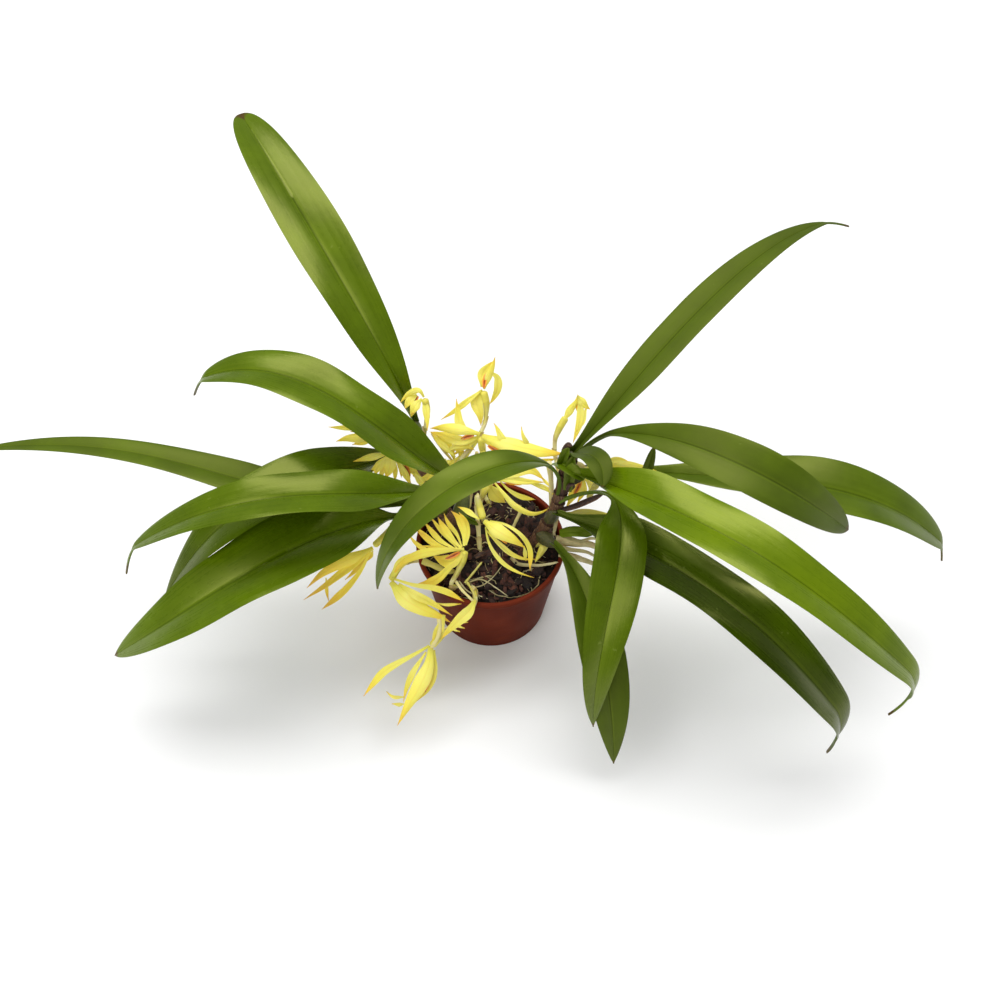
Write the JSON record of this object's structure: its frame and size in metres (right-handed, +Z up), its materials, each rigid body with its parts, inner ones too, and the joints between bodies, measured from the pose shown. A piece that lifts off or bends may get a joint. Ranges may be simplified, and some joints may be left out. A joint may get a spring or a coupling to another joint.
{
  "type": "potted orchid",
  "caption": "Flowering orchid with long arching strap leaves and slender spidery yellow blooms, rooted in bark in a small round plastic nursery pot that stands on its flat foot.",
  "frame": {"origin": "middle of the pot's underside", "axes": "+Z up out of the pot, +X to the plant's right, towards the tips of its longest right-hand leaves, and +Y to its back"},
  "size_m": [0.6729, 0.3851, 0.258],
  "materials": {
    "pot": "red-brown moulded plastic with a soft shine",
    "bark": "rough dark bark chips",
    "stem": "green stems under dark papery sheaths",
    "leaf": "smooth leathery leaf with a satin shine",
    "bloom": "soft waxy petals",
    "lip": "soft waxy petal",
    "bud": "soft waxy bud"
  },
  "bodies": {
    "root": {"pot": "pot", "bark_mix": "bark", "rhizome_right": "stem", "rhizome_left": "stem", "leaf_back_left": "leaf", "leaf_left_arched": "leaf", "leaf_far_left": "leaf", "leaf_left_behind": "leaf", "leaf_left_over": "leaf", "leaf_left_low": "leaf", "leaf_front_left": "leaf", "leaf_back_right": "leaf", "leaf_right_arched": "leaf", "leaf_right_behind": "leaf", "leaf_right_long": "leaf", "leaf_right_low": "leaf", "leaf_front_folded": "leaf", "leaf_front_right": "leaf", "leaf_short": "leaf", "leaf_sprout": "leaf", "bloom_back": "bloom", "bloom_back_lip": "lip", "bloom_top": "bloom", "bloom_top_lip": "lip", "bloom_mid_left": "bloom", "bloom_mid_left_lip": "lip", "bloom_mid_right": "bloom", "bloom_mid_right_lip": "lip", "bloom_mid_low": "bloom", "bloom_mid_low_lip": "lip", "bloom_back_right": "bloom", "bloom_back_right_lip": "lip", "bloom_middle": "bloom", "bloom_middle_lip": "lip", "bloom_front": "bloom", "bloom_front_lip": "lip", "bloom_front_left": "bloom", "bloom_front_left_lip": "lip", "bloom_rim_left": "bloom", "bloom_rim_left_lip": "lip", "bloom_low": "bloom", "bloom_low_lip": "lip", "bloom_left": "bloom", "bloom_left_lip": "lip", "bloom_under_left": "bloom", "bloom_under_left_lip": "lip", "bloom_behind_left": "bloom", "bloom_behind_left_lip": "lip", "bloom_right": "bloom", "bloom_right_lip": "lip", "bloom_right_low": "bloom", "bloom_right_low_lip": "lip", "bud_right": "bud", "bud_front": "bud"}
  },
  "joints": []
}
